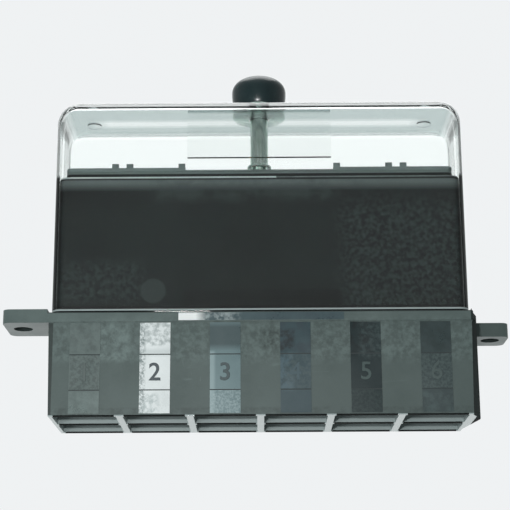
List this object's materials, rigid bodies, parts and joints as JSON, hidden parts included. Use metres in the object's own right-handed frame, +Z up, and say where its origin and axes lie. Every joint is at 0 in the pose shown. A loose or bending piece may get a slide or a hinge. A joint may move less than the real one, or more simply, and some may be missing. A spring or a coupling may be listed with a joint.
{
  "type": "cartridge fuse holder",
  "caption": "Multi-way cartridge fuse holder: ported base with staggered screw ears, fuse carrier, clear lift-off cover with a captive thumb screw, push-on fuses.",
  "frame": {"origin": "underside of the base, at the middle of the box around the whole object in plan", "axes": "+X along the row of fuse positions, from position 1 to position 6; +Z up, towards the knob; the numbered front face looks along -Y"},
  "size_m": [0.148, 0.031, 0.1077],
  "materials": {
    "base_plastic": "grey moulded, satin, scuffed",
    "carrier_plastic": "black moulded, semi-gloss",
    "clear_plastic": "clear polycarbonate",
    "knob_plastic": "black, glossy",
    "zinc_plate": "zinc plated, bright",
    "brass": "turned",
    "tinned_copper": "tin plated, satin",
    "fuse_plastic": "moulded, semi-gloss",
    "fuse_clear": "clear moulded"
  },
  "bodies": {
    "root": {"base_housing": "base_plastic", "fuse_carrier": "carrier_plastic", "brass_insert": "brass", "terminal_front_1": "tinned_copper", "terminal_front_2": "tinned_copper", "terminal_front_3": "tinned_copper", "terminal_front_4": "tinned_copper", "terminal_front_5": "tinned_copper", "terminal_front_6": "tinned_copper", "terminal_rear_1": "tinned_copper", "terminal_rear_2": "tinned_copper", "terminal_rear_3": "tinned_copper", "terminal_rear_4": "tinned_copper", "terminal_rear_5": "tinned_copper", "terminal_rear_6": "tinned_copper"},
    "cover": {"clear_cover": "clear_plastic"},
    "washer": {"knob_washer": "zinc_plate"},
    "knob": {"thumb_knob": "knob_plastic", "knob_stem": "zinc_plate"},
    "fuse_1": {"fuse_body_1": "fuse_plastic", "fuse_window_1": "fuse_clear", "fuse_element_1": "tinned_copper"},
    "fuse_2": {"fuse_body_2": "fuse_plastic", "fuse_window_2": "fuse_clear", "fuse_element_2": "tinned_copper"},
    "fuse_3": {"fuse_body_3": "fuse_plastic", "fuse_window_3": "fuse_clear", "fuse_element_3": "tinned_copper"},
    "fuse_4": {"fuse_body_4": "fuse_plastic", "fuse_window_4": "fuse_clear", "fuse_element_4": "tinned_copper"},
    "fuse_5": {"fuse_body_5": "fuse_plastic", "fuse_window_5": "fuse_clear", "fuse_element_5": "tinned_copper"},
    "fuse_6": {"fuse_body_6": "fuse_plastic", "fuse_window_6": "fuse_clear", "fuse_element_6": "tinned_copper"}
  },
  "joints": [
    {"name": "cover_lift", "type": "slide", "parent": "root", "child": "cover", "axis": [0, 0, 1], "range_m": [0, 0.055]},
    {"name": "knob_rise", "type": "slide", "parent": "cover", "child": "washer", "axis": [0, 0, 1], "range_m": [0, 0.008]},
    {"name": "knob_turn", "type": "hinge", "parent": "washer", "child": "knob", "pos_m": [0, 0, 0.0974], "axis": [0, 0, 1], "range_deg": [0, 3600]},
    {"name": "fuse_1_pull", "type": "slide", "parent": "root", "child": "fuse_1", "axis": [0, 0, 1], "range_m": [0, 0.016]},
    {"name": "fuse_2_pull", "type": "slide", "parent": "root", "child": "fuse_2", "axis": [0, 0, 1], "range_m": [0, 0.016]},
    {"name": "fuse_3_pull", "type": "slide", "parent": "root", "child": "fuse_3", "axis": [0, 0, 1], "range_m": [0, 0.016]},
    {"name": "fuse_4_pull", "type": "slide", "parent": "root", "child": "fuse_4", "axis": [0, 0, 1], "range_m": [0, 0.016]},
    {"name": "fuse_5_pull", "type": "slide", "parent": "root", "child": "fuse_5", "axis": [0, 0, 1], "range_m": [0, 0.016]},
    {"name": "fuse_6_pull", "type": "slide", "parent": "root", "child": "fuse_6", "axis": [0, 0, 1], "range_m": [0, 0.016]}
  ],
  "couplings": [
    {"joint": "knob_turn", "follows": "knob_rise", "rad_per_m": 7854}
  ]
}
